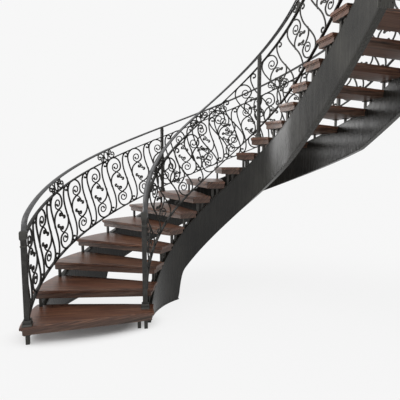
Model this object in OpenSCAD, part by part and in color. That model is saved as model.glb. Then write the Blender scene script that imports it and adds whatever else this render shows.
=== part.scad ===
// Curved staircase: two box stringers climb clockwise round an open well, with
// timber treads on short steel pedestals and wrought scroll railings.
// Millimetres, +Z up. The origin is on the underside of the inner foot plate.

/* [Stair] */
// number of treads
treads = 19; // [12:1:22]
// height from one tread to the next
rise = 175; // [150:1:190]
// radius of the treads' inner ends in the lower turn
well_radius = 765; // [600:5:1200]
// length of a tread between its two ends
tread_length = 1196; // [900:2:1400]
// turn from one tread to the next in the lower part, degrees
turn = 13.1; // [8:0.1:16]
// tread where the plan opens into the wider curve
opens_at = 14; // [8:1:20]
// radius of the treads' inner ends in the upper curve
upper_radius = 3800; // [1500:50:8000]
// turn from one tread to the next in the upper curve, degrees
upper_turn = 2.83; // [1:0.01:8]

/* [Treads] */
// thickness of the moulded top board
board = 30; // [18:1:40]
// thickness of the body below the board
body = 52; // [25:1:60]
// overhang of the board past the body
lip = 22; // [8:1:35]
// depth of a tread as a share of its step
depth_share = 1.24; // [1.05:0.01:1.4]

/* [Stringers] */
// width of each box stringer across the stair
stringer_w = 70; // [40:1:100]
// depth of the inner stringer, measured plumb
inner_depth = 475; // [300:5:600]
// depth of the outer stringer, measured plumb
outer_depth = 450; // [300:5:600]
// drop from the nosing line to the inner stringer's top
inner_drop = 282; // [200:2:350]
// drop from the nosing line to the outer stringer's top
outer_drop = 205; // [180:1:350]
// distance of a stringer's outside from the tread end
stringer_inset = 25; // [10:1:60]
// thickness of the plates under and behind the stringers
plate = 12; // [8:1:20]

/* [Railings] */
// distance of the railing from the tread end
rail_inset = 65; // [40:1:100]
// height of the outer handrail's middle above the nosing line
hand_h = 905; // [800:5:1000]
// height of the inner handrail's middle above the nosing line
inner_hand_h = 890; // [800:5:1000]
// rise of the inner railing off the nosing line near its foot
foot_lift = 35; // [0:5:60]
// tread where the inner railing has settled onto the nosing line
foot_lift_ends = 9; // [6:0.5:12]
// height of the second rail's middle above the nosing line
second_h = 765; // [650:5:850]
// height of the bottom rail's middle above the nosing line
bottom_h = 42; // [20:1:90]
// width of the handrail
hand_w = 50; // [35:1:70]
// thickness of the handrail
hand_t = 24; // [15:1:45]
// side of the square newel posts at the foot
newel = 48; // [35:1:70]
// side of the square posts between the newels and the top
post = 38; // [20:1:50]
// width of the flat rails, across the stair
flat_w = 34; // [20:1:50]
// thickness of the flat rails
flat_t = 12; // [6:1:20]
// thickness of the scroll bars
bar = 16; // [6:0.5:20]
// lean of the scroll motifs, as a share of their height
rake = 0.09; // [-0.2:0.01:0.2]
// spacing of the scroll motifs along the outer railing
outer_pitch = 363; // [280:1:500]
// spacing of the scroll motifs along the inner railing
inner_pitch = 436; // [280:2:600]
// tread number of the first motif's middle, outer railing
outer_first = 1.975; // [1.5:0.005:2.5]
// tread number of the first motif's middle, inner railing
inner_first = 1.83; // [1.5:0.01:3.5]

/* [Hidden] */

start_a = 196.85;
foot_k = 3;
rail_in = rail_inset;
rail_out = tread_length - rail_inset;
str_in = stringer_inset + stringer_w / 2;
str_out = tread_length - str_in;
tread_t = board + body;

// plan of the stair: k counts treads, off is measured outwards from the inner ends
function ang(k) = k <= opens_at ? start_a - (k - 1) * turn
    : start_a - (opens_at - 1) * turn - (k - opens_at) * upper_turn;
function rad(k, off) = (k <= opens_at ? well_radius : upper_radius) + off;
foot_r = well_radius + str_in;
c1 = [-foot_r * cos(ang(foot_k)), -foot_r * sin(ang(foot_k))];
c2 = c1 - (upper_radius - well_radius) * [cos(ang(opens_at)), sin(ang(opens_at))];
function centre(k) = k <= opens_at ? c1 : c2;
function plan(k, off) = centre(k) + rad(k, off) * [cos(ang(k)), sin(ang(k))];
function at(k, off, z) = let (p = plan(k, off)) [p.x, p.y, z];
function step_len(k, off) = rad(k, off) * (k <= opens_at ? turn : upper_turn) * PI / 180;
function slope(k, off) = atan(rise / step_len(k, off));
function nosing(k) = k * rise;

// distance along the plan at an offset, and the tread number at that distance
function along(k, off) = min(k, opens_at) * step_len(1, off)
    + max(0, k - opens_at) * step_len(opens_at + 1, off);
function tread_at(d, off) = let (e = d - along(opens_at, off))
    opens_at + e / step_len(e < 0 ? 1 : opens_at + 1, off);

// the railings follow the nosings, eased over the change of pitch where the plan opens
ease = 400;
function pitch1(off) = rise / step_len(1, off);
function pitch2(off) = rise / step_len(opens_at + 1, off);
function past(k, off) = along(k, off) - along(opens_at, off);
function outside(off) = off > tread_length / 2;
function settled(u) = u * u * (3 - 2 * u);
function lift(k, off) = outside(off) ? 0 : foot_lift * settled(min(1, max(0, (foot_lift_ends - k) / 4)));
function line(k, off) = nosing(k) + lift(k, off)
    + (pitch2(off) - pitch1(off)) * pow(max(0, ease - abs(past(k, off))), 2) / (4 * ease);
function hand_height(off) = outside(off) ? hand_h : inner_hand_h;
function lean(k, off) = atan(pitch1(off)
    + (pitch2(off) - pitch1(off)) * min(1, max(0, past(k, off) / ease / 2 + 0.5)));

// a sweep through rings of equal point count, closed at both ends
module sweep(rings) {
    n = len(rings[0]);
    m = len(rings);
    polyhedron(
        points = [for (r = rings) for (p = r) p],
        faces = concat([[for (i = [0 : n - 1]) i]],
            [for (j = [0 : m - 2]) for (i = [0 : n - 1]) let (a = j * n + i, b = j * n + (i + 1) % n)
                each [[a, b + n, b], [a, a + n, b + n]]],
            [[for (i = [0 : n - 1]) m * n - 1 - i]]));
}

// ring of an outline [across, up] set plumb at k; winding keeps the faces outward
function ring(k, off, h, shape) = [for (s = shape) at(k, off + s.x, line(k, off) + h + s.y)];
function steps(k0, k1, d) = let (n = max(1, ceil((k1 - k0) / d))) [for (i = [0 : n]) k0 + (k1 - k0) * i / n];

// stringers
foot_a = 1.9;
inner_foot = 5.85;
outer_foot = 4.9;
top_k = treads + 1.32;

// the underside stands on the floor up to foot_b, then turns up quickly into the pitch
module stringer(off, drop, depth, foot_b) {
    ease = 115 / step_len(foot_b, off);
    ks = concat(steps(foot_a, foot_b, 0.5), steps(foot_b + ease * 0.07, foot_b + ease, ease / 5),
        steps(foot_b + ease + 0.3, top_k, 0.34));
    sweep([for (k = ks) let (a = off - stringer_w / 2, b = off + stringer_w / 2, t = (k - foot_b) / ease,
            pitch = nosing(k) - drop - depth,
            zl = t <= 0 ? plate : t < 1 ? plate + (pitch - plate) * (1 - pow(1 - t, 3.2)) : pitch,
            zu = max(plate + 60, nosing(k) - drop))
        [at(k, a, zl), at(k, b, zl), at(k, b, zu), at(k, a, zu)]]);
}

module foot_plate(off, foot_b) {
    w = stringer_w / 2;
    ks = steps(foot_a, foot_b, 0.5);
    linear_extrude(plate)
        polygon(concat([for (k = ks) plan(k, off - w)],
            [for (i = [len(ks) - 1 : -1 : 0]) plan(ks[i], off + w)]));
}

// four bolts on a circle near each end of the head plate
head_bolt = 50;
head_bolt_z = 60;
module head_plate(off, drop, depth) {
    p = at(top_k, off, nosing(top_k) - drop - depth);
    translate(p) rotate([0, 0, ang(top_k)]) difference() {
        translate([-stringer_w / 2 - 32, -plate, -30]) cube([stringer_w + 64, plate, depth + 60]);
        for (z = [head_bolt_z, depth - head_bolt_z], x = [-1, 1], y = [-1, 1])
            translate([x * head_bolt, -plate - 1, z + y * head_bolt]) rotate([-90, 0, 0])
                cylinder(h = plate + 2, r = 7, $fn = 48);
    }
}

// treads
function tread_plan(k, inset) = let (
        k1 = k + depth_share,
        r0 = inset, r1 = tread_length - inset,
        da = inset / step_len(k, r1), db = inset / step_len(k, r0))
    concat([for (i = [0 : 6]) plan(k + da + (k1 - k - 2 * da) * i / 6, r1)],
        [for (i = [2 : -1 : 0]) plan(k + db + (k1 - k - 2 * db) * i / 2, r0)]);
module tread(k) {
    z = nosing(k);
    translate([0, 0, z - board]) linear_extrude(board) polygon(tread_plan(k, 0));
    translate([0, 0, z - tread_t]) linear_extrude(body + 0.01) polygon(tread_plan(k, lip));
}

// a square steel bar standing plumb at k, turned to the stair
module upright(k, off, s, z0, z1)
    translate(at(k, off, z0)) rotate([0, 0, ang(k)])
        translate([-s / 2, -s / 2, 0]) cube([s, s, z1 - z0]);

module pedestals(off, drop, places) {
    for (k = [2 : treads], d = places)
        upright(k + d, off, 26, nosing(k + d) - drop - 30, nosing(k) - tread_t);
}

module first_tread_legs() {
    for (leg = [[1.1, rail_out + 5], [1.28, 77], [1.39, 141], [1.78, rail_out + 5]])
        upright(leg.x, leg.y, 34, 0, rise - tread_t);
}

// railings
module rail(off, h, k0, k1, w, t) {
    shape = [[-w / 2, -t / 2], [w / 2, -t / 2], [w / 2, t / 2], [-w / 2, t / 2]];
    sweep([for (k = steps(k0, k1, 0.45)) ring(k, off, h, shape)]);
}

// the handrail's foot is turned down onto the newel
turn_down = 125;
function turned(k, off, z, tilt, shape) = [for (s = shape)
    at(k - s.y * sin(tilt) / step_len(k, off), off + s.x, z + s.y * cos(tilt))];
module handrail(off, k0, k1) {
    w = hand_w / 2;
    t = hand_t / 2;
    shape = [[-w * 0.6, -t], [w * 0.6, -t], [w, 0], [w * 0.5, t], [-w * 0.5, t], [-w, 0]];
    z = line(k0, off) + hand_height(off);
    d = 1 / step_len(k0, off);
    sweep(concat([turned(k0, off, z - turn_down, 90, shape), turned(k0 + d, off, z - 45, 85, shape),
            turned(k0 + 14 * d, off, z - 8, 45, shape)],
        [for (k = steps(k0 + 48 * d, k1, 0.45)) ring(k, off, hand_height(off), shape)]));
}

// square post with a base plate and two collars, up to the handrail
module railpost(k, off, s, top) {
    foot = nosing(floor(k));
    head = line(k, off) + hand_height(off) - top;
    upright(k, off, s * 1.75, foot, foot + 20);
    upright(k, off, s * 1.5, foot, foot + 52);
    upright(k, off, s, foot, head);
    upright(k, off, s * 1.35, head - 40, head - 18);
}
inner_newel = 1.66;
inner_post = 11.4;
outer_newel = 1.1;
outer_post = 7.14;
outer_post_2 = 13.18;
last_post = treads + 0.9;

// the panel between the rails: s runs up the pitch, t square to it, both in millimetres
function base(s, off) = tread_at(s <= opens_at * pitch_len(1, off) ? s * cos(slope(1, off))
    : along(opens_at, off) + (s - opens_at * pitch_len(1, off)) * cos(slope(opens_at + 1, off)), off);
function pitch_len(k, off) = norm([step_len(k, off), rise]);
function web(s, t, off, h0) = let (k = base(s, off), a = lean(k, off))
    [tread_at(along(k, off) - t * sin(a), off), line(k, off) + h0 + t * cos(a)];
function panel(k, off) = (second_h - bottom_h) * cos(lean(k, off)) - 14;

// square bars through points [k, z] of the panel, cut off plumb at k0 and k1
function inside(p, k0, k1) = p.x >= k0 && p.x <= k1;
function held(p, q, k0, k1) = let (edge = p.x < k0 ? k0 : k1) p + (q - p) * (edge - p.x) / (q.x - p.x);
function cut(path, k0, k1) = [for (i = [0 : len(path) - 1]) let (p = path[i])
    inside(p, k0, k1) ? p : i > 0 && inside(path[i - 1], k0, k1) ? held(p, path[i - 1], k0, k1)
        : i < len(path) - 1 && inside(path[i + 1], k0, k1) ? held(p, path[i + 1], k0, k1) : [0, 0]];
function runs(path, i = 0, run = []) = i >= len(path) ? (len(run) > 1 ? [run] : [])
    : path[i].x > 0 ? runs(path, i + 1, concat(run, [path[i]]))
    : concat(len(run) > 1 ? [run] : [], runs(path, i + 1, []));
function unit(v) = v / norm(v);
module bars(path, off, k0, k1, w = bar, t = bar)
    for (run = runs(cut(path, k0, k1))) {
        m = len(run) - 1;
        sweep([for (i = [0 : m]) let (
                p = at(run[i].x, off, run[i].y),
                a = at(run[max(0, i - 1)].x, off, run[max(0, i - 1)].y),
                b = at(run[min(m, i + 1)].x, off, run[min(m, i + 1)].y),
                r = [cos(ang(run[i].x)), sin(ang(run[i].x)), 0] * w / 2,
                n = unit(cross(b - a, r)) * t / 2)
            [p - r - n, p + r - n, p + r + n, p - r + n]]);
    }

// a cluster of leaves where a curl springs
module leaf(p, off)
    hull() for (d = [-1, 1]) translate(at(p.x, off, p.y)) rotate([0, 0, ang(p.x)])
        translate([0, 0, d * bar]) cube([bar * 1.4, bar * 2, bar], center = true);

function spiral(c, r0, r1, a0, a1, n) = [for (i = [0 : n])
    let (u = i / n, r = r0 + (r1 - r0) * u, a = a0 + (a1 - a0) * u) [c.x + r * cos(a), c.y + r * sin(a)]];

// one half of the motif, on a panel 670 high; the other half is the same turned end for end
half = 335;
hook = concat([[-200, -272], [-238, -300], [-196, -326], [-127, -190], [-139, 140]],
    spiral([-20, 226], 118, 106, 160, -45, 3), [[-20, 140], [-66, 124]]);
tail = [[-44, 132], [-124, 62]];
curl = concat([[52, 48]], spiral([2, 214], 68, 24, 255, -20, 3));

function place(s, p, sx, hp, off) = web(s + p.x * sx + p.y * rake, 7 + hp / 2 * (1 + p.y / half), off, bottom_h);
module motif(s, sx, off, k0, k1) {
    hp = panel(base(s, off), off);
    for (turned = [-1, 1]) {
        for (part = [[hook, 1, 1], [tail, 0.8, 0.9], [curl, 0.7, 0.8]])
            bars([for (p = part[0]) place(s, turned * p, sx, hp, off)],
                off, k0, k1, bar * part[1] + turned * 0.4, bar * part[2]);
        q = place(s, turned * [50, 48], sx, hp, off);
        if (inside(q, k0, k1)) leaf(q, off);
    }
}
module scrolls(off, first, pitch, sx, k0, k1)
    for (i = [-2 : 40]) {
        s = first * pitch_len(1, off) + i * pitch;
        if (base(s + 260, off) > k0 - 0.4 && base(s - 480, off) < k1) motif(s, sx, off, k0, k1);
    }

// two facing C scrolls with a lozenge between them, under the handrail
module frieze(off, places)
    for (k = places) {
        hp = (hand_height(off) - second_h) * cos(lean(k, off)) - 16;
        s = min(k, opens_at) * pitch_len(1, off) + max(0, k - opens_at) * pitch_len(opens_at + 1, off);
        paths = [[[30, 0.5], [0, 0.86], [-30, 0.5], [0, 0.14], [30, 0.5]],
            for (m = [-1, 1])
                [for (p = [[128, 0.4], [146, 0.8], [98, 1], [42, 0.5], [98, 0], [146, 0.2]]) [m * p.x, p.y]]];
        for (path = paths)
            bars([for (p = path) web(s + p.x, p.y * hp, off, second_h)], off, 0, 99);
        for (m = [-1, 1]) leaf(web(s + m * 98, hp * 0.5, off, second_h), off);
    }

steel = [0.24, 0.24, 0.23];
wood = [0.35, 0.24, 0.2];
color(steel) foot_plate(str_in, inner_foot);  // foot_plate_inner
color(steel) foot_plate(str_out, outer_foot);  // foot_plate_outer
color(steel) stringer(str_in, inner_drop, inner_depth, inner_foot);  // stringer_inner
color(steel) stringer(str_out, outer_drop, outer_depth, outer_foot);  // stringer_outer
color(steel) head_plate(str_in, inner_drop, inner_depth);  // head_plate_inner
color(steel) head_plate(str_out, outer_drop, outer_depth);  // head_plate_outer
color(wood) tread(1);  // tread_01
color(wood) tread(2);  // tread_02
color(wood) tread(3);  // tread_03
color(wood) tread(4);  // tread_04
color(wood) tread(5);  // tread_05
color(wood) tread(6);  // tread_06
color(wood) tread(7);  // tread_07
color(wood) tread(8);  // tread_08
color(wood) tread(9);  // tread_09
color(wood) tread(10);  // tread_10
color(wood) tread(11);  // tread_11
color(wood) tread(12);  // tread_12
color(wood) tread(13);  // tread_13
color(wood) tread(14);  // tread_14
color(wood) tread(15);  // tread_15
color(wood) tread(16);  // tread_16
color(wood) tread(17);  // tread_17
color(wood) tread(18);  // tread_18
color(wood) tread(19);  // tread_19
color(steel) first_tread_legs();
color(steel) pedestals(str_in, inner_drop, [0.45, 0.75]);  // pedestals_inner
color(steel) pedestals(str_out, outer_drop, [0.1, 0.42]);  // pedestals_outer
color(steel) {  // posts_inner
    railpost(inner_newel, rail_in + 15, newel, turn_down);
    railpost(inner_post, rail_in, post, hand_t * 0.4);
    railpost(last_post, rail_in, post, hand_t * 0.4);
}
color(steel) {  // posts_outer
    railpost(outer_newel, rail_out + 3, newel, turn_down);
    railpost(outer_post, rail_out, post, hand_t * 0.4);
    railpost(outer_post_2, rail_out, post, hand_t * 0.4);
    railpost(last_post, rail_out, post, hand_t * 0.4);
}
color(steel) handrail(rail_in, inner_newel, last_post + 0.15);  // handrail_inner
color(steel) handrail(rail_out, outer_newel, last_post + 0.12);  // handrail_outer
color(steel) rail(rail_in, second_h, inner_newel, last_post, flat_w, flat_t);  // second_rail_inner
color(steel) rail(rail_out, second_h, outer_newel, last_post, flat_w, flat_t);  // second_rail_outer
color(steel) rail(rail_in, bottom_h, inner_newel, last_post, flat_w, flat_t);  // bottom_rail_inner
color(steel) rail(rail_out, bottom_h, outer_newel, last_post, flat_w, flat_t);  // bottom_rail_outer
color(steel) scrolls(rail_in, inner_first, inner_pitch, 0.92, inner_newel, inner_post);  // scrolls_inner_lower
color(steel) scrolls(rail_in, inner_first, inner_pitch, 0.92, inner_post, last_post);  // scrolls_inner_upper
color(steel) scrolls(rail_out, outer_first, outer_pitch, 1, outer_newel, outer_post);  // scrolls_outer_lower
color(steel) scrolls(rail_out, outer_first, outer_pitch, 1, outer_post, outer_post_2);  // scrolls_outer_middle
color(steel) scrolls(rail_out, outer_first, outer_pitch, 1, outer_post_2, last_post);  // scrolls_outer_upper
color(steel) frieze(rail_in, [4.35, 7.67, 14.4, 17.3]);  // frieze_inner
color(steel) frieze(rail_out, [3.12, 5.14, 9.16, 11.18, 15.4, 17.6]);  // frieze_outer
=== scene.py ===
import math

import bmesh
import bpy
from mathutils import Matrix, Vector


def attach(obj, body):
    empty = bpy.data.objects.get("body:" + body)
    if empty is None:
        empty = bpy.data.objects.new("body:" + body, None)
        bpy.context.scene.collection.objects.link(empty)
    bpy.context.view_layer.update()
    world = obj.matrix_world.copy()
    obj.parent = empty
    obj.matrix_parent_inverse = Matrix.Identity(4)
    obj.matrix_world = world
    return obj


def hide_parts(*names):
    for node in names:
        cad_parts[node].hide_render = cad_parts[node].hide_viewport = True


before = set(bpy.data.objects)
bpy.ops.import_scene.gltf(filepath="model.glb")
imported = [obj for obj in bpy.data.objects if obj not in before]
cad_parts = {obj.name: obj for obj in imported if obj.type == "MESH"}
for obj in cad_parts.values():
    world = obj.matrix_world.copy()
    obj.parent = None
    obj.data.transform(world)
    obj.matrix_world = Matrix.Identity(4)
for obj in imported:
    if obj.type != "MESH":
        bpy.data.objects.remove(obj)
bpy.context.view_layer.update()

# the plan: two arcs that meet at one tread, in metres and degrees; k counts treads from the foot
stair = {
    "treads": 19,
    "rise": 0.175,
    "turn": 13.1,
    "wellRadius": 0.765,
    "treadLength": 1.196,
    "opensAt": 14,
    "upperTurn": 2.83,
    "upperRadius": 3.8,
    "startAngle": 196.85,
    "footTread": 3,  # the frame's origin lies under the inner stringer here
    "stringerInset": 0.025,
    "stringerWidth": 0.07,
    "railInset": 0.065,
    "easing": 0.4,
    "footLift": 0.035,
    "footLiftEnds": 9.0,
    "footLiftRun": 4,
}


def angleAt(k):
    low = min(k, stair["opensAt"]) - 1
    high = max(0, k - stair["opensAt"])
    return math.radians(stair["startAngle"] - low * stair["turn"] - high * stair["upperTurn"])


def direction(k):
    return Vector((math.cos(angleAt(k)), math.sin(angleAt(k)), 0))


innerStringer = stair["stringerInset"] + stair["stringerWidth"] / 2
outerStringer = stair["treadLength"] - innerStringer
stringerSides = (("inner", innerStringer), ("outer", outerStringer))
innerRail = stair["railInset"]
outerRail = stair["treadLength"] - innerRail
railSides = (("inner", innerRail), ("outer", outerRail))
lowerCentre = -(stair["wellRadius"] + innerStringer) * direction(stair["footTread"])
widening = stair["upperRadius"] - stair["wellRadius"]
upperCentre = lowerCentre - widening * direction(stair["opensAt"])


def spot(k, off, z):
    # off is measured outwards from the treads' inner ends
    if k <= stair["opensAt"]:
        p = lowerCentre + (stair["wellRadius"] + off) * direction(k)
    else:
        p = upperCentre + (stair["upperRadius"] + off) * direction(k)
    return Vector((p.x, p.y, z))


def stepLength(k, off):
    if k <= stair["opensAt"]:
        return (stair["wellRadius"] + off) * math.radians(stair["turn"])
    return (stair["upperRadius"] + off) * math.radians(stair["upperTurn"])


def along(k, off):
    bend = stair["opensAt"]
    return min(k, bend) * stepLength(1, off) + max(0, k - bend) * stepLength(bend + 1, off)


def treadAt(distance, off):
    bend = stair["opensAt"]
    past = distance - along(bend, off)
    return bend + past / stepLength(1 if past < 0 else bend + 1, off)


def nosing(k):
    return k * stair["rise"]


def pitches(off):
    rise, bend = stair["rise"], stair["opensAt"]
    return rise / stepLength(1, off), rise / stepLength(bend + 1, off)


def railLine(k, off):
    # the nosing line, eased where the plan opens
    low, high = pitches(off)
    ease = stair["easing"]
    past = along(k, off) - along(stair["opensAt"], off)
    eased = nosing(k) + (high - low) * max(0, ease - abs(past)) ** 2 / (4 * ease)
    if off > stair["treadLength"] / 2:
        return eased
    # the inner railing starts higher and settles onto the pitch
    share = min(1, max(0, (stair["footLiftEnds"] - k) / stair["footLiftRun"]))
    return eased + stair["footLift"] * share * share * (3 - 2 * share)


def lean(k, off):
    low, high = pitches(off)
    past = along(k, off) - along(stair["opensAt"], off)
    share = min(1, max(0, past / stair["easing"] / 2 + 0.5))
    return math.atan(low + (high - low) * share)


def srgb(code):
    parts = [int(code[i:i + 2], 16) / 255 for i in (1, 3, 5)]
    return tuple(c / 12.92 if c <= 0.04045 else ((c + 0.055) / 1.055) ** 2.4 for c in parts) + (1,)


def node(tree, kind, settings=None, stops=(), **links):
    # links are socket=value or socket=(node, output), i0 is the first socket; stops fill a ramp
    made = tree.nodes.new(kind)
    for name, value in (settings or {}).items():
        setattr(made, name, value)
    for i, (place, colour) in enumerate(stops):
        stop = made.color_ramp.elements[i] if i < 2 else made.color_ramp.elements.new(place)
        stop.position = place
        stop.color = srgb(colour) if isinstance(colour, str) else (colour, colour, colour, 1)
    for name, value in links.items():
        numbered = name[0] == "i" and name[1:].isdigit()
        socket = made.inputs[int(name[1:]) if numbered else name.replace("_", " ")]
        if isinstance(value, tuple) and len(value) == 2 and isinstance(value[0], bpy.types.Node):
            tree.links.new(value[0].outputs[value[1]], socket)
        else:
            socket.default_value = value
    return made


def startMaterial(name):
    material = bpy.data.materials.new(name)
    material.use_nodes = True
    tree = material.node_tree
    tree.nodes.clear()
    shader = node(tree, "ShaderNodeBsdfPrincipled")
    node(tree, "ShaderNodeOutputMaterial", Surface=(shader, "BSDF"))
    return material, tree, shader


def rubbedEdges(tree, limits, most):
    # a mask for the edges that hands and cloths rub; the limits are in pointiness
    shape = node(tree, "ShaderNodeNewGeometry")
    worn = node(tree, "ShaderNodeValToRGB", stops=list(zip(limits, (0.0, 1.0))),
                Fac=(shape, "Pointiness"))
    return node(tree, "ShaderNodeMath", {"operation": "MULTIPLY"}, i0=(worn, "Color"), i1=most)


def joinShader(tree, shader, colour, rough, bump):
    tree.links.new(colour.outputs[2], shader.inputs["Base Color"])
    tree.links.new(rough.outputs["Result"], shader.inputs["Roughness"])
    tree.links.new(bump.outputs["Normal"], shader.inputs["Normal"])


steelPaint = {
    "name": "satinPaintedSteelPlate",
    "tones": [(0.3, "#1e1d1b"), (0.52, "#272623"), (0.75, "#32312d")],
    "edge": "#504f49",
    "edgeShare": 0.5,
    "worn": (0.52, 0.6),
    "roughness": (0.19, 0.35),
    "specular": 0.3,
    "ior": 1.5,
    "cloud": 0.35,  # broad clouds in the tone, 350 mm
    "band": 0.028,  # spray bands, 28 mm wide
    "bandShare": 0.5,
    "sweep": 0.1,  # and ten times as tall
    "peel": 0.0035,  # orange peel, 3.5 mm, a little coarser than real so that it shows
    "peelDepth": 0.0006,
    "peelStrength": 0.12,
}


def makeSteelPaint(look):
    # rolled steel plate, sprayed with a warm grey satin enamel in upright passes: fine orange
    # peel, faint upright bands, rubbed at the edges
    material, tree, shader = startMaterial(look["name"])
    place = node(tree, "ShaderNodeTexCoord")
    cloud = node(tree, "ShaderNodeTexNoise", Vector=(place, "Object"), Scale=1 / look["cloud"],
                 Detail=4.0)
    passes = node(tree, "ShaderNodeMapping", Vector=(place, "Object"),
                  Scale=(1.0, 1.0, look["sweep"]))
    band = node(tree, "ShaderNodeTexNoise", Vector=(passes, "Vector"), Scale=1 / look["band"],
                Detail=3.0, Roughness=0.6)
    tone = node(tree, "ShaderNodeValToRGB", stops=look["tones"], Fac=(cloud, "Fac"))
    banded = node(tree, "ShaderNodeMix", {"data_type": "RGBA", "blend_type": "SOFT_LIGHT"},
                  i0=look["bandShare"], i6=(tone, "Color"), i7=(band, "Fac"))
    rub = rubbedEdges(tree, look["worn"], look["edgeShare"])
    colour = node(tree, "ShaderNodeMix", {"data_type": "RGBA"},
                  i0=(rub, "Value"), i6=(banded, 2), i7=srgb(look["edge"]))
    smooth, dull = look["roughness"]
    rough = node(tree, "ShaderNodeMapRange", Value=(band, "Fac"), i3=smooth, i4=dull)
    peel = node(tree, "ShaderNodeTexNoise", Vector=(place, "Object"), Scale=1 / look["peel"],
                Detail=2.0)
    bump = node(tree, "ShaderNodeBump", Height=(peel, "Fac"), Strength=look["peelStrength"],
                Distance=look["peelDepth"])
    joinShader(tree, shader, colour, rough, bump)
    shader.inputs["IOR"].default_value = look["ior"]
    shader.inputs["Specular IOR Level"].default_value = look["specular"]
    return material


forgedIron = {
    "name": "waxedForgedIron",
    "tones": [(0.3, "#191817"), (0.52, "#242321"), (0.78, "#32312e")],
    "rub": "#4b4945",
    "roughness": (0.38, 0.62),
    "hammer": 0.011,  # dents 11 mm across
}

handrailIron = {
    "name": "polishedHandrailIron",
    "tones": [(0.3, "#3f3f40"), (0.52, "#525253"), (0.78, "#656566")],
    "rub": "#8b8b8a",
    "roughness": (0.24, 0.48),
    "hammer": 0.02,
}

newelIron = {
    "name": "waxedNewelIron",
    "tones": [(0.3, "#292927"), (0.52, "#393836"), (0.78, "#494845")],
    "rub": "#6a6964",
    "roughness": (0.32, 0.56),
    "hammer": 0.016,
}

# what the three irons share
ironWork = {
    "scale": 0.05,  # patches of fire scale, 50 mm
    "worn": (0.51, 0.62),
    "rubShare": 0.55,
    "dentStrength": 0.3,
    "dentDepth": 0.001,
    "metallic": 0.55,
}


def makeIron(look):
    # bar iron worked hot under the hammer, blackened and waxed: soft dents, brighter where hands
    # and cloths rub it
    material, tree, shader = startMaterial(look["name"])
    place = node(tree, "ShaderNodeTexCoord")
    scale = node(tree, "ShaderNodeTexNoise", Vector=(place, "Object"),
                 Scale=1 / ironWork["scale"], Detail=5.0, Roughness=0.65)
    tone = node(tree, "ShaderNodeValToRGB", stops=look["tones"], Fac=(scale, "Fac"))
    rub = rubbedEdges(tree, ironWork["worn"], ironWork["rubShare"])
    colour = node(tree, "ShaderNodeMix", {"data_type": "RGBA"},
                  i0=(rub, "Value"), i6=(tone, "Color"), i7=srgb(look["rub"]))
    smooth, dull = look["roughness"]
    rough = node(tree, "ShaderNodeMapRange", Value=(scale, "Fac"), i3=smooth, i4=dull)
    dents = node(tree, "ShaderNodeTexVoronoi", {"feature": "SMOOTH_F1"},
                 Vector=(place, "Object"), Scale=1 / look["hammer"])
    bump = node(tree, "ShaderNodeBump", Height=(dents, "Distance"),
                Strength=ironWork["dentStrength"], Distance=ironWork["dentDepth"])
    joinShader(tree, shader, colour, rough, bump)
    shader.inputs["Metallic"].default_value = ironWork["metallic"]
    return material


boardWood = {
    "name": "oiledMerbauBoard",
    "tones": [(0.4, "#26170f"), (0.5, "#553a2c"), (0.62, "#8a644c")],
    "streak": "#6b4030",
    "roughness": (0.27, 0.45),
    "grain": 0.0025,  # fibres and pores, drawn 2.5 mm wide so that they show
    "streakWidth": 0.01,
    "stave": 0.095,
}

# the body is merbau of a darker tint, and its tones are darkened a little further as painted
# shade: they stand in for the shade on the tread fronts under the board's lip
bodyWoodPaintedShade = {
    "name": "oiledMerbauBodyPaintedShade",
    "tones": [(0.4, "#2f2119"), (0.5, "#4f3a2f"), (0.62, "#6e5647")],
    "streak": "#674536",
    "roughness": (0.36, 0.54),
    "grain": 0.0028,
    "streakWidth": 0.015,
    "stave": 0.16,
}

# what the two woods share
timber = {
    "streaksPerMetre": 1.6,
    "fibreStretch": 0.04,  # a fibre's width over its length
    "fibreTones": [(0.34, 0.34), (0.62, 0.62)],
    "fibreShare": 0.55,
    "staveShare": 0.45,
    "poreStrength": 0.2,
    "poreDepth": 0.0006,
    "ior": 1.5,
}


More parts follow.
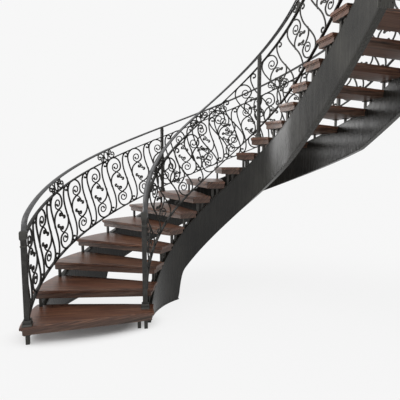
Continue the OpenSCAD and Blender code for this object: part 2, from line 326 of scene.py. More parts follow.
def makeWood(look):
    # planed merbau, glued from staves, oiled to a satin sheen: long fine grain and open pores
    # along the tread
    material, tree, shader = startMaterial(look["name"])
    grain = look["grain"]
    flat = node(tree, "ShaderNodeUVMap", {"uv_map": "grain"})
    # the broad streaks are drawn wider than real figure, so that they show from a few metres
    stretch = node(tree, "ShaderNodeMapping", Vector=(flat, "UV"),
                   Scale=(timber["streaksPerMetre"], 1 / look["streakWidth"], 1.0))
    broad = node(tree, "ShaderNodeTexNoise", Vector=(stretch, "Vector"), Scale=1.0, Detail=5.0,
                 Roughness=0.62, Distortion=0.4)
    thin = node(tree, "ShaderNodeMapping", Vector=(flat, "UV"),
                Scale=(timber["fibreStretch"] / grain, 1 / grain, 1.0))
    fibre = node(tree, "ShaderNodeTexNoise", Vector=(thin, "Vector"), Scale=0.5, Detail=3.0,
                 Roughness=0.55)
    split = node(tree, "ShaderNodeSeparateXYZ", Vector=(flat, "UV"))
    strip = node(tree, "ShaderNodeMath", {"operation": "DIVIDE"}, i0=(split, "Y"),
                 i1=look["stave"])
    number = node(tree, "ShaderNodeMath", {"operation": "FLOOR"}, i0=(strip, "Value"))
    stave = node(tree, "ShaderNodeTexWhiteNoise", {"noise_dimensions": "1D"},
                 W=(number, "Value"))
    tone = node(tree, "ShaderNodeValToRGB", stops=look["tones"], Fac=(broad, "Fac"))
    share = node(tree, "ShaderNodeMath", {"operation": "MULTIPLY"}, i0=(stave, "Value"),
                 i1=timber["staveShare"])
    dyed = node(tree, "ShaderNodeMix", {"data_type": "RGBA"},
                i0=(share, "Value"), i6=(tone, "Color"), i7=srgb(look["streak"]))
    fibreTone = node(tree, "ShaderNodeValToRGB", stops=timber["fibreTones"],
                     Fac=(fibre, "Fac"))
    grained = node(tree, "ShaderNodeMix", {"data_type": "RGBA", "blend_type": "OVERLAY"},
                   i0=timber["fibreShare"], i6=(dyed, 2), i7=(fibreTone, "Color"))
    smooth, dull = look["roughness"]
    rough = node(tree, "ShaderNodeMapRange", Value=(fibre, "Fac"), i3=smooth, i4=dull)
    bump = node(tree, "ShaderNodeBump", Height=(fibre, "Fac"), Strength=timber["poreStrength"],
                Distance=timber["poreDepth"])
    joinShader(tree, shader, grained, rough, bump)
    shader.inputs["IOR"].default_value = timber["ior"]
    return material


steelMaterial = makeSteelPaint(steelPaint)
ironMaterial = makeIron(forgedIron)
handrailMaterial = makeIron(handrailIron)
newelMaterial = makeIron(newelIron)
boardMaterial = makeWood(boardWood)
# the body's wood carries painted shade: its tones are partly its own darker tint and partly
# darkened for the shade on the fronts under the board
bodyPaintedShadeMaterial = makeWood(bodyWoodPaintedShade)
print("materials made")


def finishPiece(name, bm, materials, replaced, smoothAngle=35):
    bmesh.ops.recalc_face_normals(bm, faces=bm.faces)
    mesh = bpy.data.meshes.new(name)
    bm.to_mesh(mesh)
    bm.free()
    for material in materials:
        mesh.materials.append(material)
    mesh.shade_smooth()
    mesh.set_sharp_from_angle(angle=math.radians(smoothAngle))
    piece = bpy.data.objects.new(name, mesh)
    bpy.context.scene.collection.objects.link(piece)
    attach(piece, "root")
    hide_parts(replaced)


def bothSides(section):
    return section + [(-across, up) for across, up in reversed(section)]


def straightBar(bm, outline, stations):
    # a bar of the outline's section, cut at whole numbers 0 to stations along x
    ring = [bm.verts.new((0, across, up)) for across, up in outline]
    face = bm.faces.new(ring)
    bmesh.ops.spin(bm, geom=[face], cent=(0, 0, 0), axis=(1, 0, 0), dvec=(1, 0, 0), angle=0,
                   steps=stations, use_duplicate=False)


def layAlong(verts, path, off):
    # path holds (k, z, tilt) at each whole x; the section stands plumb at tilt 0
    for v in verts:
        k, z, tilt = path[min(len(path) - 1, max(0, round(v.co.x)))]
        back = v.co.z * math.sin(tilt) / stepLength(k, off)
        v.co = spot(k - back, off + v.co.y, z + v.co.z * math.cos(tilt))


def roundedSection(width, height, radius, segments):
    bm = bmesh.new()
    bmesh.ops.create_grid(bm, x_segments=1, y_segments=1, size=0.5)
    bmesh.ops.scale(bm, vec=(width, height, 1), verts=bm.verts)
    bmesh.ops.bevel(bm, geom=bm.verts, offset=radius, offset_type="OFFSET", affect="VERTICES",
                    segments=segments, profile=0.5, material=-1)
    face = bm.faces[:][0]
    points = [(v.co.x, v.co.y) for v in face.verts]
    bm.free()
    return points


def addPlate(bm, centre, size, angle, bevel):
    turned = Matrix.Translation(centre) @ Matrix.Rotation(angle, 4, "Z")
    made = bmesh.ops.create_cube(bm, size=1, matrix=turned @ Matrix.Diagonal((*size, 1)))["verts"]
    edges = {e for v in made for e in v.link_edges}
    bmesh.ops.bevel(bm, geom=list(edges), offset=bevel, offset_type="OFFSET", affect="EDGES",
                    segments=1, profile=0.5, material=-1)


def turnedPost(bm, foot, angle, profile, corner):
    # a square post: the profile holds (height, half width) from the foot up
    made = bmesh.ops.create_grid(bm, x_segments=1, y_segments=1, size=profile[0][1])["verts"]
    face = made[0].link_faces[0]
    everything = set(made)
    for height, width in profile[1:]:
        ends = [face, *face.edges, *face.verts]
        grown = bmesh.ops.extrude_face_region(bm, geom=ends)["geom"]
        face = [g for g in grown if isinstance(g, bmesh.types.BMFace)][0]
        for v in face.verts:
            v.co = (math.copysign(width, v.co.x), math.copysign(width, v.co.y), height)
        everything.update(face.verts)
    upright = [e for e in {e for v in everything for e in v.link_edges}
               if abs(e.verts[0].co.z - e.verts[1].co.z) > 1e-5]
    bevelled = bmesh.ops.bevel(bm, geom=upright, offset=corner, offset_type="OFFSET",
                               affect="EDGES", segments=2, profile=0.5, material=-1)
    everything = {v for v in everything if v.is_valid} | set(bevelled["verts"])
    turned = Matrix.Translation(foot) @ Matrix.Rotation(angle, 4, "Z")
    bmesh.ops.transform(bm, matrix=turned, verts=list(everything))


# drops are below the nosing line; feet, starts and ends are in treads
stringers = {
    "innerDrop": 0.282,
    "innerDepth": 0.475,
    "innerFoot": 5.85,
    "outerDrop": 0.205,
    "outerDepth": 0.45,
    "outerFoot": 4.9,
    "footStart": 1.9,
    "footCurve": 3.2,
    "plate": 0.012,
    "plateSteps": 60,
    "leastDepth": 0.06,
    "topTread": 20.32,
    "easing": 0.115,
    "step": 0.1,
    "fineStep": 0.012,
    "fineFrom": 0.02,
    "corner": 0.003,
    "groove": 0.002,
    "grooveInset": 0.014,
    "grooveHalf": 0.003,
    "smooth": 28,
}


def makeStringer(name, off, drop, depth, footEnd, replaced):
    look = stringers
    half = stair["stringerWidth"] / 2
    corner, groove = look["corner"], look["groove"]
    inset, reach = look["grooveInset"], look["grooveHalf"]
    outline = bothSides([
        (half - corner, 0), (half, corner), (half, inset - reach), (half - groove, inset),
        (half, inset + reach), (half, depth - inset - reach), (half - groove, depth - inset),
        (half, depth - inset + reach), (half, depth - corner), (half - corner, depth)])
    ease = look["easing"] / stepLength(footEnd, off)
    stations = []
    k = look["footStart"]
    while k < look["topTread"]:
        stations.append(k)
        turning = footEnd - look["fineFrom"] <= k < footEnd + ease
        k += look["fineStep"] if turning else look["step"]
    stations.append(look["topTread"])
    bm = bmesh.new()
    straightBar(bm, outline, len(stations) - 1)
    least = look["leastDepth"]
    for v in bm.verts:
        k = stations[round(v.co.x)]
        # the lower edge stands on the foot plate, then curves up to the pitch
        share = (k - footEnd) / ease
        pitch = nosing(k) - drop - depth
        low = look["plate"]
        if share >= 1:
            low = pitch
        elif share > 0:
            low += (pitch - low) * (1 - (1 - share) ** look["footCurve"])
        high = max(look["plate"] + least, nosing(k) - drop)
        up = v.co.z
        up = low + up if up < depth / 2 else high - (depth - up)
        if high - low < least:
            up = low + (high - low) * v.co.z / depth
        v.co = spot(k, off + v.co.y, up)
    finishPiece(name, bm, [steelMaterial], replaced, look["smooth"])


def makeFootPlate(name, off, footEnd, replaced):
    bm = bmesh.new()
    half = stair["stringerWidth"] / 2
    thick, count = stringers["plate"], stringers["plateSteps"]
    straightBar(bm, [(-half, 0), (half, 0), (half, thick), (-half, thick)], count)
    start = stringers["footStart"]
    for v in bm.verts:
        v.co = spot(start + (footEnd - start) * round(v.co.x) / count, off + v.co.y, v.co.z)
    finishPiece(name, bm, [steelMaterial], replaced)


for side, off in stringerSides:
    makeStringer(side + "BoxStringer", off, stringers[side + "Drop"], stringers[side + "Depth"],
                 stringers[side + "Foot"], "stringer_" + side)
for side, off in stringerSides:
    makeFootPlate(side + "FootPlate", off, stringers[side + "Foot"], "foot_plate_" + side)
print("stringers made")


treadSizes = {
    "board": 0.03,
    "body": 0.052,
    "share": 1.24,  # a tread's width over the step, so each passes under the next
    "endLip": 0.022,
    "frontLip": 0.009,
    "scotia": 0.009,
    "scotiaForward": 0.4,
    "scotiaSoft": 0.7,
    "nose": 0.009,
    "arris": 0.003,
    "overlap": 0.001,
    "grainAt": 0.6,
    "grainShift": (1.37, 0.71),
    "smooth": 40,
}


def addSlab(bm, treads, offs, heights, edges, finish):
    # each pair runs from low to high; a slab follows the stair's curve at its ends
    made = bmesh.ops.create_grid(bm, x_segments=10, y_segments=4, size=0.5)["verts"]
    faces = {f for v in made for f in v.link_faces}
    bottom, top = heights
    for v in made:
        v.co = spot(treads[0] + (v.co.x + 0.5) * (treads[1] - treads[0]),
                    offs[0] + (v.co.y + 0.5) * (offs[1] - offs[0]), top)
    geom = list(faces) + list({e for f in faces for e in f.edges}) + made
    grown = bmesh.ops.extrude_face_region(bm, geom=geom)["geom"]
    low = [g for g in grown if isinstance(g, bmesh.types.BMVert)]
    for v in low:
        v.co.z = bottom
    everything = set(made) | set(low)
    for f in {f for v in everything for f in v.link_faces}:
        f.material_index = finish
    for height, size, segments in ((top, edges[1], 4), (bottom, edges[0], 2)):
        if not size:
            continue
        around = {e for v in everything if v.is_valid for e in v.link_edges}
        rim = [e for e in around if all(abs(v.co.z - height) < 1e-6 for v in e.verts)
               and abs(e.link_faces[0].normal.z * e.link_faces[1].normal.z) < 0.2
               and max(abs(f.normal.z) for f in e.link_faces) > 0.9]
        bmesh.ops.bevel(bm, geom=rim, offset=size, offset_type="OFFSET", affect="EDGES",
                        segments=segments, profile=0.5, material=-1)
        # only the board has both edges rounded, and it comes first in its mesh
        everything = set(bm.verts)


def layGrain(bm, k, top):
    # the boards run across the stair, so the grain follows the tread's length
    middle = k + treadSizes["grainAt"]
    lengthways = direction(middle)
    crossways = Vector((-lengthways.y, lengthways.x, 0))
    start = spot(middle, 0, top)
    ahead, aside = (shift * k for shift in treadSizes["grainShift"])
    layer = bm.loops.layers.uv.new("grain")
    for f in bm.faces:
        for loop in f.loops:
            away = loop.vert.co - start
            loop[layer].uv = (away.dot(lengthways) + ahead,
                              away.dot(crossways) + away.z + aside)


def makeTread(k):
    look = treadSizes
    top = nosing(k)
    length = stair["treadLength"]
    bm = bmesh.new()
    under = top - look["board"]
    last = k + look["share"]
    addSlab(bm, (k, last), (0, length), (under, top), (look["arris"], look["nose"]), 0)
    # the body stands back under the board, with a cove between them
    back = look["frontLip"] / stepLength(k, length / 2)
    end, cove = look["endLip"], look["scotia"]
    tuck = under + look["overlap"]
    addSlab(bm, (k + back, last - back), (end, length - end), (under - look["body"], tuck),
            (look["arris"], 0), 1)
    forward = back * look["scotiaForward"]
    addSlab(bm, (k + forward, last - forward), (end - cove, length - end + cove),
            (under - cove, tuck), (cove * look["scotiaSoft"], 0), 1)
    bmesh.ops.recalc_face_normals(bm, faces=bm.faces)
    layGrain(bm, k, top)
    finishPiece("tread%02d" % k, bm, [boardMaterial, bodyPaintedShadeMaterial],
                "tread_%02d" % k, look["smooth"])


for number in range(1, stair["treads"] + 1):
    makeTread(number)
print("treads made")


# what carries the treads; places are in treads past each tread's own nosing
supports = {
    "bar": 0.026,
    "innerPlaces": (0.45, 0.75),
    "outerPlaces": (0.1, 0.42),
    "sunk": 0.028,
    "headPlate": (0.07, 0.05, 0.006),
    "legBar": 0.034,
    "legPlate": (0.06, 0.06, 0.006),
    "legs": ((1.1, outerRail + 0.005), (1.28, 0.077), (1.39, 0.141), (1.78, outerRail + 0.005)),
    "corner": 0.002,
    "plateCorner": 0.001,
}


def treadUnderside(k):
    return nosing(k) - treadSizes["board"] - treadSizes["body"]


def addSupport(bm, k, off, foot, head, bar, plate):
    turn = angleAt(k)
    profile = [(0, bar / 2), (head - foot, bar / 2)]
    turnedPost(bm, spot(k, off, foot), turn, profile, supports["corner"])
    addPlate(bm, spot(k, off, head - plate[2] / 2), plate, turn, supports["plateCorner"])


def makePedestals(name, off, drop, places, replaced):
    bm = bmesh.new()
    for k in range(2, stair["treads"] + 1):
        for d in places:
            foot = nosing(k + d) - drop - supports["sunk"]
            addSupport(bm, k + d, off, foot, treadUnderside(k), supports["bar"],
                       supports["headPlate"])
    finishPiece(name, bm, [ironMaterial], replaced)


def makeLegs():
    bm = bmesh.new()
    for k, off in supports["legs"]:
        addSupport(bm, k, off, 0, treadUnderside(1), supports["legBar"], supports["legPlate"])
    finishPiece("firstTreadLegs", bm, [ironMaterial], "first_tread_legs")


for side, off in stringerSides:
    makePedestals(side + "Pedestals", off, stringers[side + "Drop"], supports[side + "Places"],
                  "pedestals_" + side)
makeLegs()
print("supports made")


# heights are above the nosing line; newels, posts and ends are in treads
railing = {
    "innerHandHeight": 0.89,
    "outerHandHeight": 0.905,
    "secondHeight": 0.765,
    "bottomHeight": 0.042,
    "handWidth": 0.05,
    "handDepth": 0.024,
    # half the handrail's section from the bottom up, in half widths and half depths
    "handSection": ((0.5, -1), (0.56, -0.62), (0.9, -0.42), (1, -0.1), (0.97, 0.28), (0.8, 0.62),
                    (0.5, 0.86), (0.2, 0.98)),
    "handStep": 0.07,
    "flatWidth": 0.034,
    "flatDepth": 0.012,
    "flatCorner": 0.0025,
    "flatStep": 0.08,
    "turnDown": 0.125,
    "bendReach": 0.16,
    "bendSteps": 12,
    "innerNewel": 1.66,
    "outerNewel": 1.1,
    "innerPosts": (11.4, 19.9),
    "outerPosts": (7.14, 13.18, 19.9),
    "innerBays": ("Lower", "Upper"),
    "outerBays": ("Lower", "Middle", "Upper"),
    "handEnd": 20.02,
    "newelBar": 0.046,
    "innerNewelShift": 0.015,
    "outerNewelShift": 0.003,
    "postBar": 0.038,
    "postSunk": 0.4,
    "postCorner": 0.003,
    # heights from the foot or from the head, and widths in shares of the bar
    "newelFoot": ((0, 1.82), (0.017, 1.82), (0.02, 1.72), (0.0205, 1.54), (0.046, 1.54),
                  (0.052, 1.4), (0.0525, 1)),
    "newelHead": ((-0.09, 1), (-0.087, 1.18), (-0.076, 1.18), (-0.073, 1), (-0.03, 1),
                  (-0.014, 1.34), (0.04, 1.34), (0.052, 1.2)),
    "postFoot": ((0, 1.7), (0.016, 1.7), (0.019, 1.6), (0.0195, 1.44), (0.045, 1.44),
                 (0.05, 1.3), (0.0505, 1)),
    "postHead": ((-0.05, 1), (-0.047, 1.2), (-0.037, 1.2), (-0.034, 1), (0, 1)),
    "smooth": 40,
}


def handHeight(off):
    return railing["outerHandHeight" if off > stair["treadLength"] / 2 else "innerHandHeight"]


def makeHandrail(name, off, start, replaced):
    look = railing
    half, deep = look["handWidth"] / 2, look["handDepth"] / 2
    outline = bothSides([(x * half, y * deep) for x, y in look["handSection"]])
    height = railLine(start, off) + handHeight(off)
    step = stepLength(start, off)
    # the foot comes up off the newel and bends over into the pitch
    slope = lean(start, off)
    run, climb = look["bendReach"] * math.cos(slope), look["bendReach"] * math.sin(slope)
    path = []
    for i in range(look["bendSteps"] + 1):
        u = i / look["bendSteps"]
        up = u * u * climb - (1 - u) ** 2 * look["turnDown"]
        tilt = math.atan2((1 - u) * look["turnDown"] + u * climb, u * run)
        path.append((start + u * u * run / step, height + up, tilt))
    first = path[-1][0]
    count = int((look["handEnd"] - first) / look["handStep"])
    for i in range(1, count + 1):
        k = first + (look["handEnd"] - first) * i / count
        path.append((k, railLine(k, off) + handHeight(off), lean(k, off)))
    bm = bmesh.new()
    straightBar(bm, outline, len(path) - 1)
    layAlong(bm.verts, path, off)
    finishPiece(name, bm, [handrailMaterial], replaced, look["smooth"])


def makeFlatRail(name, off, start, end, height, replaced):
    look = railing
    outline = roundedSection(look["flatWidth"], look["flatDepth"], look["flatCorner"], 2)
    count = int((end - start) / look["flatStep"])
    path = []
    for i in range(count + 1):
        k = start + (end - start) * i / count
        path.append((k, railLine(k, off) + height, lean(k, off)))
    bm = bmesh.new()
    straightBar(bm, outline, count)
    layAlong(bm.verts, path, off)
    finishPiece(name, bm, [ironMaterial], replaced, look["smooth"])


def addPost(bm, kind, k, off, shift, head):
    # kind names the bar, the stepped foot and the collared head
    foot = nosing(int(k))
    tall = railLine(k, off) + handHeight(off) - head - foot
    half = railing[kind + "Bar"] / 2
    profile = [(height, half * share) for height, share in railing[kind + "Foot"]]
    profile += [(tall + height, half * share) for height, share in railing[kind + "Head"]]
    turnedPost(bm, spot(k, off + shift, foot), angleAt(k), profile, railing["postCorner"])


def makePosts(side, off, replaced):
    look = railing
    bm = bmesh.new()
    addPost(bm, "newel", look[side + "Newel"], off, look[side + "NewelShift"], look["turnDown"])
    for k in look[side + "Posts"]:
        addPost(bm, "post", k, off, 0, look["handDepth"] * look["postSunk"])
    finishPiece(side + "Posts", bm, [newelMaterial], replaced)


for side, off in railSides:
    makeHandrail(side + "Handrail", off, railing[side + "Newel"], "handrail_" + side)
for level in ("second", "bottom"):
    for side, off in railSides:
        makeFlatRail(side + level.title() + "Rail", off, railing[side + "Newel"],
                     railing[side + "Posts"][-1], railing[level + "Height"],
                     level + "_rail_" + side)
for side, off in railSides:
    makePosts(side, off, "posts_" + side)
print("rails and posts made")


# scrollwork: drawn flat in millimetres, then bent onto the railing in metres
scrollwork = {
    "half": 330,  # half the drawn motif, in millimetres
    "squeeze": 0.35,
    "shiftReach": 180,  # millimetres
    "clear": 0.007,
    "outerPitch": 0.363,
    "innerPitch": 0.436,
    "outerFirst": 1.975,
    "innerFirst": 1.83,
    "motifs": range(-2, 42),
    "reachUp": 0.26,
    "reachDown": 0.48,
    "margin": 0.4,  # treads
    "rake": 0.09,
    "mainBar": (0.018, 0.016),
    "fineBar": (0.0135, 0.012),
    "berryBar": (0.0155, 0.014),
    "barCorner": 0.2,
    "innerShare": 0.82,
    "bead": 0.014,
    "berry": 0.007,
    "smooth": 50,
}


def spiral(x, y, r0, r1, a0, a1, count):
    points = []
    for i in range(count + 1):
        u = i / count
        r, a = r0 + (r1 - r0) * u, math.radians(a0 + (a1 - a0) * u)
        points.append((x + r * math.cos(a), y + r * math.sin(a)))
    return points


def squareProfile(name, size, share=1.0):
    data = bpy.data.curves.new(name, "CURVE")
    data.dimensions = "2D"
    spline = data.splines.new("POLY")
    corner = min(size) * share * scrollwork["barCorner"]
    points = roundedSection(size[0] * share, size[1] * share, corner, 1)
    spline.points.add(len(points) - 1)
    for point, (x, y) in zip(spline.points, points):
        point.co = (x, y, 0, 1)
    spline.use_cyclic_u = True
    profile = bpy.data.objects.new(name, data)
    bpy.context.scene.collection.objects.link(profile)
    return profile


def drawFlat(bm, strokes, profile, steps):
    # strokes become bars of the profile's section, lying in the xy plane
    data = bpy.data.curves.new("stroke", "CURVE")
    data.dimensions = "2D"
    data.resolution_u = steps
    data.bevel_mode = "OBJECT"
    data.bevel_object = profile
    data.use_fill_caps = True
    for stroke in strokes:
        spline = data.splines.new("BEZIER")
        spline.bezier_points.add(len(stroke) - 1)
        for point, (x, y) in zip(spline.bezier_points, stroke):
            point.co = (x / 1000, y / 1000, 0)
            point.handle_left_type = point.handle_right_type = "AUTO"
    drawn = bpy.data.objects.new("stroke", data)
    bpy.context.scene.collection.objects.link(drawn)
    graph = bpy.context.evaluated_depsgraph_get()
    mesh = bpy.data.meshes.new_from_object(drawn.evaluated_get(graph))
    bm.from_mesh(mesh)
    bpy.data.objects.remove(drawn)
    bpy.data.curves.remove(data)
    bpy.data.meshes.remove(mesh)


def addMotif(bm, one):
    mesh = bpy.data.meshes.new("motif")
    one.to_mesh(mesh)
    one.free()
    bm.from_mesh(mesh)
    bpy.data.meshes.remove(mesh)


def pitchLength(k, off):
    return math.hypot(stepLength(k, off), stair["rise"])


def alongPitch(k, off):
    bend = stair["opensAt"]
    return min(k, bend) * pitchLength(1, off) + max(0, k - bend) * pitchLength(bend + 1, off)


def treadOnPitch(distance, off):
    bend = stair["opensAt"]
    low = bend * pitchLength(1, off)
    if distance <= low:
        return distance / pitchLength(1, off)
    return bend + (distance - low) / pitchLength(bend + 1, off)


def panelHeight(k, off):
    gap = railing["secondHeight"] - railing["bottomHeight"]
    return gap * math.cos(lean(k, off)) - 2 * scrollwork["clear"]


def bendOntoRail(verts, centre, off, bottom):
    # x runs up the pitch from the centre, y square to it from the rail below, z across the railing
    for v in verts:
        k = treadOnPitch(centre + v.co.x, off)
        a = lean(k, off)
        height = railLine(k, off) + bottom + v.co.y * math.cos(a)
        back = v.co.y * math.sin(a)
        v.co = spot(treadAt(along(k, off) - back, off), off + v.co.z, height)


# one motif is two of these, the second turned half round: an S scroll that curls back at each end,
# a finer spiral inside its upper loop, and two berry curls on a short stalk
upperLoop = spiral(-20, 226, 118, 104, 178, -40, 8)
mainStroke = (spiral(-211, -294, 15, 37, 40, 300, 8)
              + [(-160, -298), (-132, -228), (-121, -142), (-125, -50), (-133, 60), (-139, 150)]
              + upperLoop + [(-20, 140), (-72, 122), (-112, 82), (-130, 28), (-134, -12)])
innerStroke = [(52, 48), (40, 92), (8, 132)] + spiral(2, 212, 58, 20, 245, -175, 14)
berrySpots = [(6, 76), (64, 20)]
berryStrokes = [spiral(*berrySpots[0], 21, 11, -20, 300, 9),
                spiral(*berrySpots[1], 21, 11, 140, -180, 9), [(14, 68), (34, 50), (56, 34)]]
beadSpots = [(mainStroke[0], "bead"), (innerStroke[-1], "bead"),
             (berrySpots[0], "berry"), (berrySpots[1], "berry")]


def fitStroke(stroke, scale, shift, side):
    # the middle stays and both ends move in by the shift, so that curls keep their shape
    fitted = []
    for x, y in stroke:
        x, y = x * scale, y * scale
        share = min(1, abs(y) / scrollwork["shiftReach"])
        y -= shift * math.sin(math.pi / 2 * share) * (1 if y > 0 else -1)
        x += y * scrollwork["rake"]
        fitted.append((x * side, y * side))
    return fitted


def drawMotif(profiles, tall, beadShare):
    look = scrollwork
    room = tall * 500  # half the panel in millimetres
    scale = min(1, (room / look["half"]) ** look["squeeze"])
    shift = look["half"] * scale - room
    one = bmesh.new()
    for side in (1, -1):
        for strokes, profile, steps in (([mainStroke], profiles["mainBar"], 4),
                                        ([innerStroke], profiles["fineBar"], 3),
                                        (berryStrokes, profiles["berryBar"], 3)):
            fitted = [fitStroke(stroke, scale, shift, side) for stroke in strokes]
            drawFlat(one, fitted, profile, steps)
        for place, size in beadSpots:
            x, y = fitStroke([place], scale, shift, side)[0]
            bmesh.ops.create_uvsphere(one, u_segments=10, v_segments=6,
                                      radius=look[size] * beadShare,
                                      matrix=Matrix.Translation((x / 1000, y / 1000, 0)))
    for v in one.verts:
        v.co.y += tall / 2 + look["clear"]
    return one


def makeScrolls(name, side, off, start, end, replaced):
    look = scrollwork
    bm = bmesh.new()
    # the inner railing is forged from slightly lighter bar
    share = look["innerShare"] if side == "inner" else 1.0
    profiles = {bar: squareProfile(bar, look[bar], share)
                for bar in ("mainBar", "fineBar", "berryBar")}
    begin = look[side + "First"] * pitchLength(1, off)
    for i in look["motifs"]:
        centre = begin + i * look[side + "Pitch"]
        if (treadOnPitch(centre + look["reachUp"], off) < start - look["margin"]
                or treadOnPitch(centre - look["reachDown"], off) > end):
            continue
        one = drawMotif(profiles, panelHeight(treadOnPitch(centre, off), off), share)
        bendOntoRail(one.verts, centre, off, railing["bottomHeight"])
        # what runs past the posts is cut off plumb and closed
        for limit, keep in ((start, 1), (end, -1)):
            tangent = Vector((direction(limit).y, -direction(limit).x, 0)) * keep
            bmesh.ops.bisect_plane(one, geom=one.verts[:] + one.edges[:] + one.faces[:],
                                   dist=1e-6, plane_co=spot(limit, off, 0), plane_no=tangent,
                                   clear_inner=True)
        bmesh.ops.holes_fill(one, edges=[e for e in one.edges if e.is_boundary], sides=0)
        addMotif(bm, one)
    for profile in profiles.values():
        bpy.data.objects.remove(profile)
    finishPiece(name, bm, [ironMaterial], replaced, look["smooth"])


for side, off in railSides:
    ends = (railing[side + "Newel"], *railing[side + "Posts"])
    for bay, start, end in zip(railing[side + "Bays"], ends, ends[1:]):
        makeScrolls(side + bay + "Scrolls", side, off, start, end,
                    "scrolls_" + side + "_" + bay.lower())
print("scrollwork made")


# ornaments in the frieze under each handrail, by tread
frieze = {
    "inner": (4.35, 7.67, 14.4, 17.3),
    "outer": (3.12, 5.14, 9.16, 11.18, 15.4, 17.6),
    "bar": (0.014, 0.012),
    "clear": 0.014,
    "lift": 0.005,
    "smooth": 50,
}


def ornamentStrokes(tall):
    # each side: a C scroll on the rail below, a curl under the handrail and two little curls
    # between; the second side is turned half round
    low, high = tall * 0.24, tall * 0.78
    sweep = [(-12, tall), (26, high), (46, tall * 0.3), (86, 2), (128, low)]
    oneSide = [sweep + spiral(104, tall * 0.42, 27, 8, 5, 330, 8),
               [(8, 2), (20, low), (52, high)] + spiral(78, tall * 0.8, 20, 8, 160, -170, 7),
               spiral(58, tall * 0.52, 13, 6, 200, -120, 6),
               spiral(36, tall * 0.56, 13, 6, 20, 340, 6)]
    return oneSide + [[(-x, tall - y) for x, y in stroke] for stroke in oneSide]


def makeFrieze(side, off, replaced):
    bm = bmesh.new()
    profile = squareProfile("friezeBar", frieze["bar"])
    for k in frieze[side]:
        room = handHeight(off) - railing["secondHeight"]
        gap = room * math.cos(lean(k, off)) - frieze["clear"]
        one = bmesh.new()
        drawFlat(one, ornamentStrokes(gap * 1000), profile, 4)
        for v in one.verts:
            v.co.y += frieze["lift"]
        bendOntoRail(one.verts, alongPitch(k, off), off, railing["secondHeight"])
        addMotif(bm, one)
    bpy.data.objects.remove(profile)
    finishPiece(side + "Frieze", bm, [ironMaterial], replaced, frieze["smooth"])


for side, off in railSides:
    makeFrieze(side, off, "frieze_" + side)
print("friezes made")

# the head plates stay as the frame made them
for name in ("head_plate_inner", "head_plate_outer"):
    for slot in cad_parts[name].material_slots:
        slot.material = steelMaterial


# floor, light and camera
studio = {
    "background": 0.93,
    "floor": "#f2f2f2",
    "floorHalf": 40,
    "floorRoughness": 0.9,
    "shadowCentre": (-0.6, -0.35, 0),
    "shadowTurn": 17,
    "shadowHalf": (0.75, 0.33, 1.0),
    "shadowNear": (0.5, 0.08),
    "shadowFar": (1.1, 0.92),
    "skyTop": 1.35,
    "skySide": 0.06,
    "keyPower": 0.8,
    "keySpread": 40,
    "keyFrom": (-0.5, -0.15, 1.2),  # towards the light
    "sidePower": 3.0,
    "sideSpread": 34,
    "sideFrom": (-0.98, 0.03, 0.04),
    "lens": 32.12,
    "sensor": 36,
    "cameraSpot": (0.5258, -3.7112, 1.5876),
    "cameraDown": 5.4,
}


def seenDirectly(tree):
    # one for what the camera, a reflection or a view through glass sees, not for light on things
    ray = node(tree, "ShaderNodeLightPath")
    seen = node(tree, "ShaderNodeMath", {"operation": "MAXIMUM"},
                i0=(ray, "Is Camera Ray"), i1=(ray, "Is Glossy Ray"))
    return node(tree, "ShaderNodeMath", {"operation": "MAXIMUM"},
                i0=(seen, "Value"), i1=(ray, "Is Transmission Ray"))


def makeSky():
    # a soft ceiling of light overhead; the camera and reflections see the plain backdrop
    world = bpy.data.worlds.new("studioWorld")
    world.use_nodes = True
    tree = world.node_tree
    tree.nodes.clear()
    seen = seenDirectly(tree)
    place = node(tree, "ShaderNodeTexCoord")
    split = node(tree, "ShaderNodeSeparateXYZ", Vector=(place, "Generated"))
    up = node(tree, "ShaderNodeMath", {"operation": "MAXIMUM"}, i0=(split, "Z"), i1=0.0)
    square = node(tree, "ShaderNodeMath", {"operation": "POWER"}, i0=(up, "Value"), i1=2.0)
    sky = node(tree, "ShaderNodeMapRange", Value=(square, "Value"),
               i3=studio["skySide"], i4=studio["skyTop"])
    strength = node(tree, "ShaderNodeMix", Factor=(seen, "Value"), i2=(sky, "Result"),
                    i3=studio["background"])
    shade = node(tree, "ShaderNodeBackground", Color=(1, 1, 1, 1),
                 Strength=(strength, "Result"))
    node(tree, "ShaderNodeOutputWorld", Surface=(shade, "Background"))
    bpy.context.scene.world = world


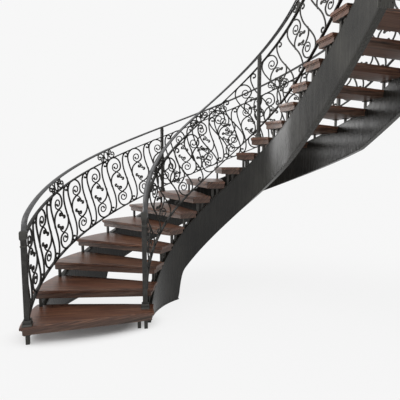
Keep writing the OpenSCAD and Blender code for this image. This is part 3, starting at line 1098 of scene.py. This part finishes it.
def makeFloor():
    bm = bmesh.new()
    bmesh.ops.create_grid(bm, x_segments=1, y_segments=1, size=studio["floorHalf"])
    mesh = bpy.data.meshes.new("floor")
    bm.to_mesh(mesh)
    bm.free()
    floor = bpy.data.objects.new("floor", mesh)
    bpy.context.scene.collection.objects.link(floor)
    # a matt painted studio floor: inside an oval at the stair's foot it keeps the shadows, and
    # further off it turns into the backdrop's own white
    material, tree, shader = startMaterial("mattWhiteCove")
    shader.inputs["Base Color"].default_value = srgb(studio["floor"])
    shader.inputs["Roughness"].default_value = studio["floorRoughness"]
    shader.inputs["Specular IOR Level"].default_value = 0.0
    place = node(tree, "ShaderNodeTexCoord")
    oval = node(tree, "ShaderNodeMapping", {"vector_type": "TEXTURE"},
                Vector=(place, "Object"), Location=studio["shadowCentre"],
                Rotation=(0, 0, math.radians(studio["shadowTurn"])), Scale=studio["shadowHalf"])
    far = node(tree, "ShaderNodeVectorMath", {"operation": "LENGTH"}, i0=(oval, "Vector"))
    near, beyond = studio["shadowNear"], studio["shadowFar"]
    fade = node(tree, "ShaderNodeMapRange", {"interpolation_type": "SMOOTHSTEP"},
                Value=(far, "Value"), i1=near[0], i2=beyond[0], i3=near[1], i4=beyond[1])
    share = node(tree, "ShaderNodeMath", {"operation": "MULTIPLY"},
                 i0=(seenDirectly(tree), "Value"), i1=(fade, "Result"))
    white = node(tree, "ShaderNodeEmission", Color=(1, 1, 1, 1), Strength=studio["background"])
    mixed = node(tree, "ShaderNodeMixShader", i0=(share, "Value"), i1=(shader, "BSDF"),
                 i2=(white, "Emission"))
    output = next(n for n in tree.nodes if n.type == "OUTPUT_MATERIAL")
    tree.links.new(mixed.outputs[0], output.inputs["Surface"])
    mesh.materials.append(material)


def makeLight(name):
    light = bpy.data.lights.new(name, "SUN")
    light.energy = studio[name + "Power"]
    light.angle = math.radians(studio[name + "Spread"])
    lamp = bpy.data.objects.new(name, light)
    lamp.rotation_euler = Vector(studio[name + "From"]).to_track_quat("Z", "Y").to_euler()
    bpy.context.scene.collection.objects.link(lamp)


def makeCamera():
    data = bpy.data.cameras.new("camera")
    data.lens = studio["lens"]
    data.sensor_width = studio["sensor"]
    camera = bpy.data.objects.new("camera", data)
    camera.location = studio["cameraSpot"]
    camera.rotation_euler = (math.radians(90 - studio["cameraDown"]), 0, 0)
    bpy.context.scene.collection.objects.link(camera)
    bpy.context.scene.camera = camera
    bpy.context.scene.view_settings.view_transform = "Standard"


makeSky()
makeFloor()
makeLight("key")
makeLight("side")
makeCamera()
print("studio made")
